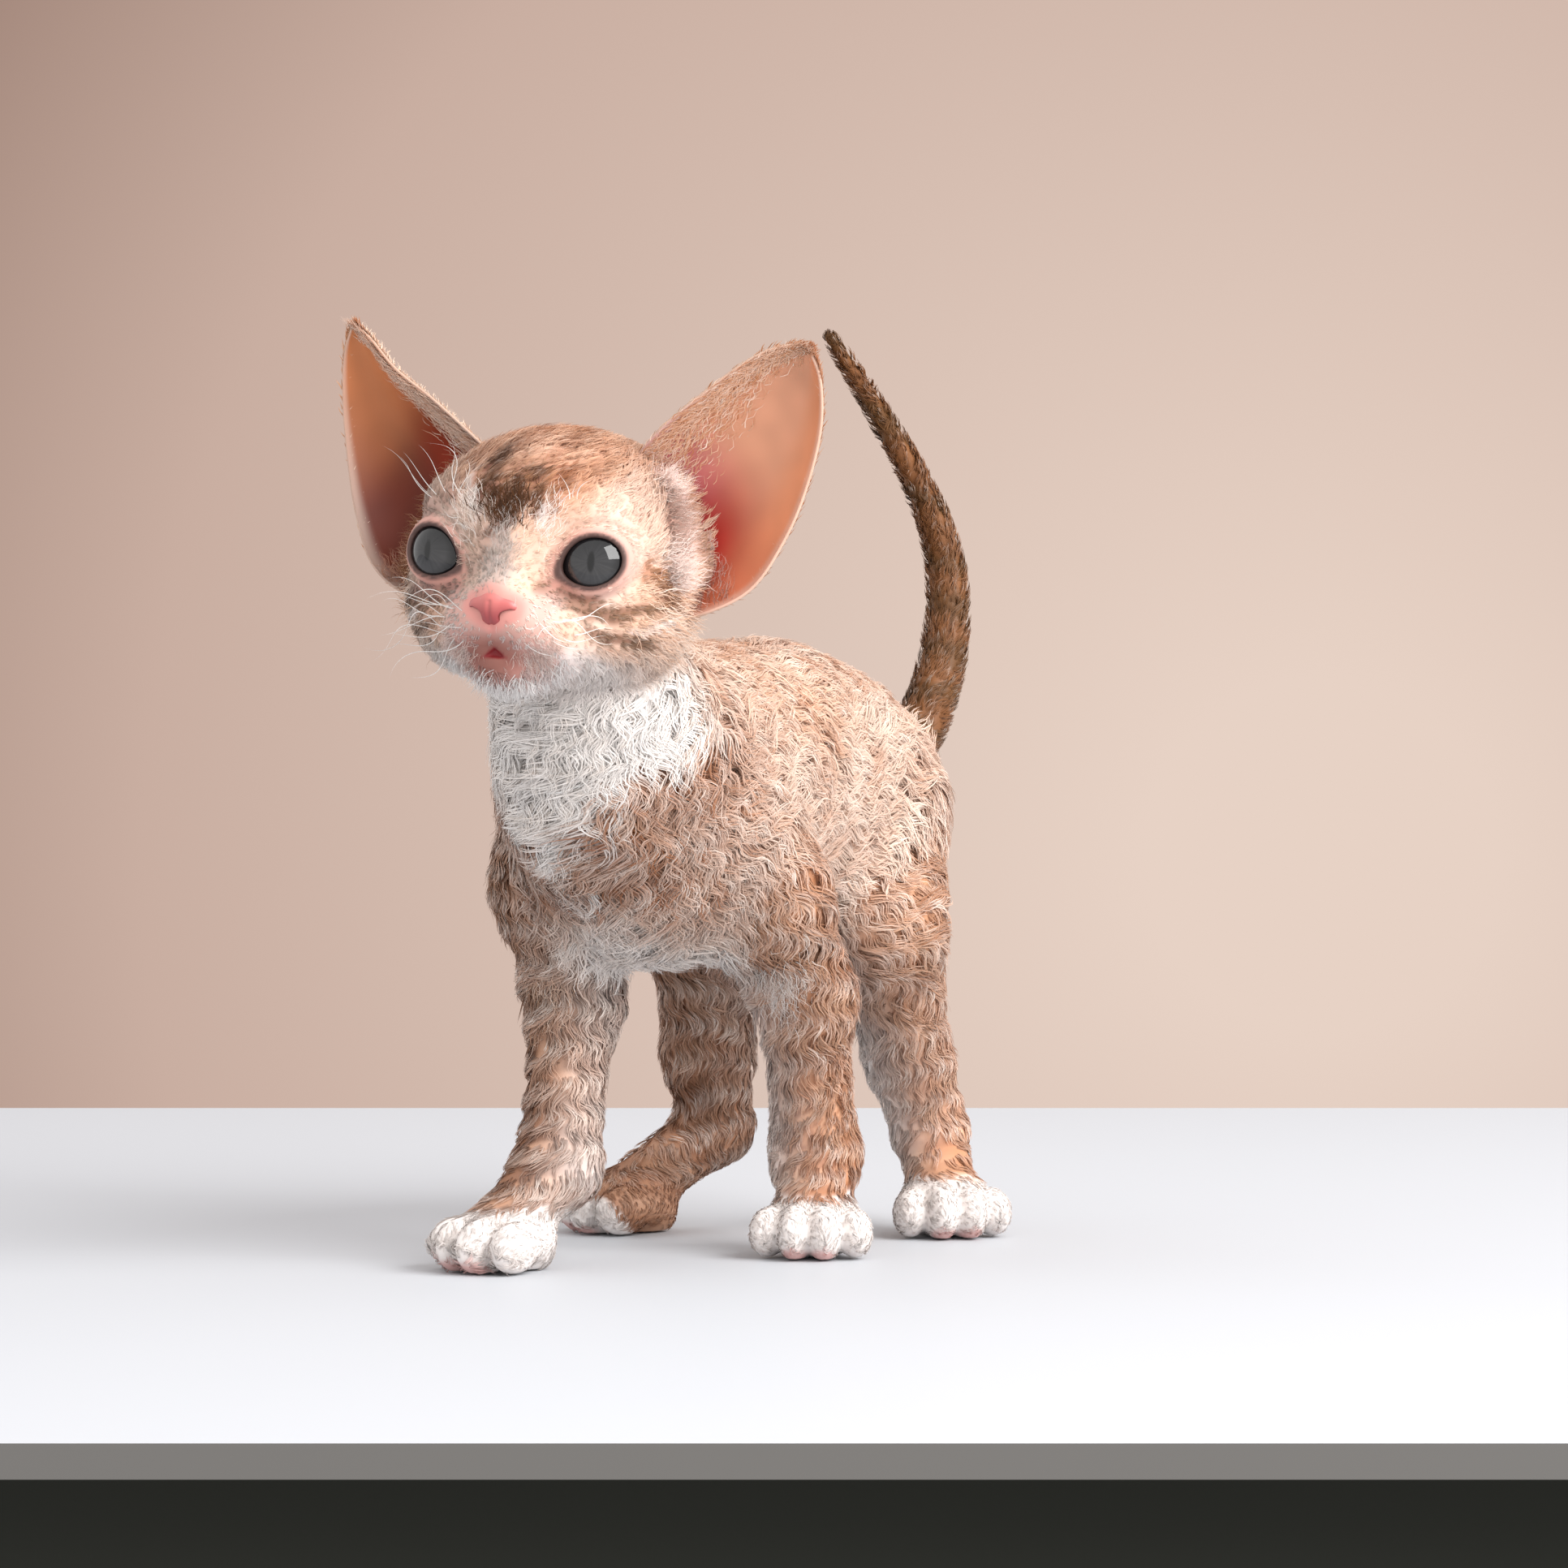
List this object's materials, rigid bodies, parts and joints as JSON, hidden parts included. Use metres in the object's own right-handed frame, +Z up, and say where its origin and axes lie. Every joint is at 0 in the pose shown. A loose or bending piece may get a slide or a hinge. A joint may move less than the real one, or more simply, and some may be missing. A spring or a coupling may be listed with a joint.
{
  "type": "devon rex kitten figure",
  "caption": "Life-size still model of a curly-coated kitten with very large ears, standing in mid step with its head up and its tail raised.",
  "frame": {"origin": "middle of the whole kitten's box, on the floor under its paws", "axes": "+Z up; the kitten faces -Y; its left side is +X"},
  "size_m": [0.0964, 0.1694, 0.1712],
  "materials": {
    "coat_red": "soft wavy red tabby coat, pale cream between darker bands",
    "coat_white": "soft white coat",
    "skin_pink": "moist pink skin",
    "skin_ear": "thin bare pink skin inside, fine short tan hair outside",
    "eye": "wet, glossy, slate grey iris"
  },
  "bodies": {
    "root": {"torso": "coat_red", "neck": "coat_white", "head": "coat_red", "nose": "skin_pink", "eye_left": "eye", "eye_right": "eye", "ear_left": "skin_ear", "ear_right": "skin_ear", "foreleg_left": "coat_red", "foreleg_right": "coat_red", "forepaw_left": "coat_white", "forepaw_right": "coat_white", "hind_leg_left": "coat_red", "hind_leg_right": "coat_red", "hind_paw_left": "coat_white", "hind_paw_right": "coat_white", "tail_base": "coat_red", "tail_tip": "coat_red"}
  },
  "joints": []
}
